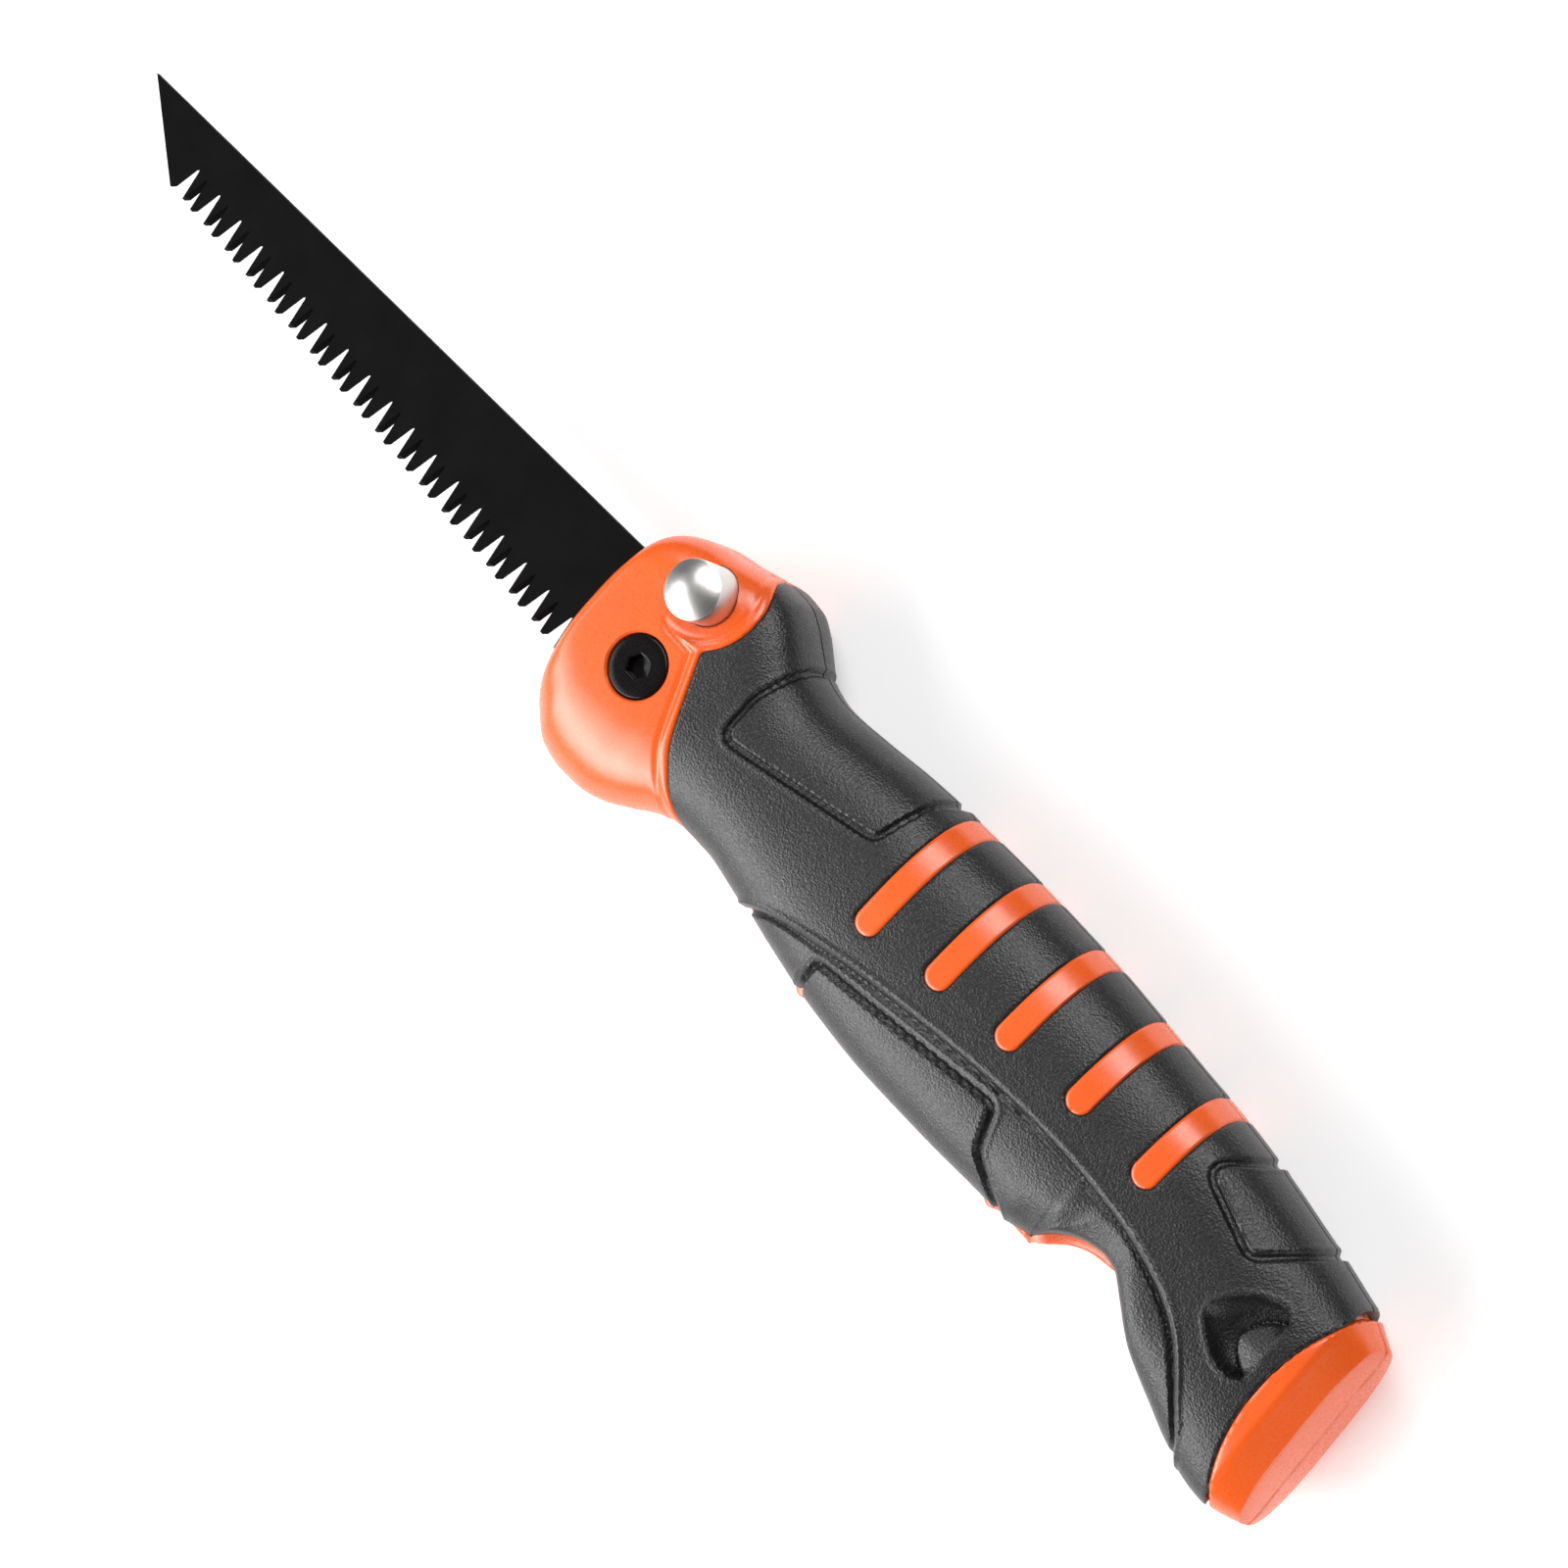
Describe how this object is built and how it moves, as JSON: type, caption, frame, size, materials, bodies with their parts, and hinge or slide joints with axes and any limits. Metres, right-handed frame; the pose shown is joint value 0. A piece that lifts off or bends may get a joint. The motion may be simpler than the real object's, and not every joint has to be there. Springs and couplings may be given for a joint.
{
  "type": "folding pruning saw",
  "caption": "Folding hand saw with a tapered black pruning blade, a push-button blade lock and a curved orange handle with dark soft grips and ribs.",
  "frame": {"origin": "centre of the footprint, on the surface that the saw lies on, button side up", "axes": "+X along the saw towards the butt, +Y towards the handle's spine, +Z out of the button side"},
  "size_m": [0.3542, 0.0576, 0.0341],
  "materials": {
    "orange_abs": "satin, fine spark texture",
    "soft_grip": "matte, fine grain",
    "black_blade": "smooth black coating",
    "black_oxide": "satin black oxide",
    "zinc_steel": "bright zinc",
    "bright_steel": "turned",
    "nickel_button": "polished nickel with fine turning marks",
    "spring_steel": "drawn wire"
  },
  "bodies": {
    "handle": {"near_shell": "orange_abs", "far_shell": "orange_abs", "near_grip": "soft_grip", "far_grip": "soft_grip", "pivot_bolt": "black_oxide", "pivot_nut": "zinc_steel", "nut_washer": "zinc_steel", "pivot_sleeve": "bright_steel", "near_washer": "bright_steel", "far_washer": "bright_steel", "lock_spring": "spring_steel", "near_lock_bush": "bright_steel", "far_lock_bush": "bright_steel", "open_stop_pin": "bright_steel", "fold_stop_pin": "bright_steel", "spine_screws": "zinc_steel", "butt_screws": "zinc_steel"},
    "blade": {"blade": "black_blade"},
    "lock_button": {"lock_button": "nickel_button"}
  },
  "joints": [
    {"name": "blade_pivot", "type": "hinge", "parent": "handle", "child": "blade", "pos_m": [-0.01077, 0, 0.0134], "axis": [0, 0, 1], "range_deg": [0, 180]},
    {"name": "lock_press", "type": "slide", "parent": "handle", "child": "lock_button", "axis": [0, 0, -1], "range_m": [-0.00125, 0.002], "stiffness_N_per_m": 300, "springref_m": -0.004, "deforming": ["lock_spring"]}
  ]
}
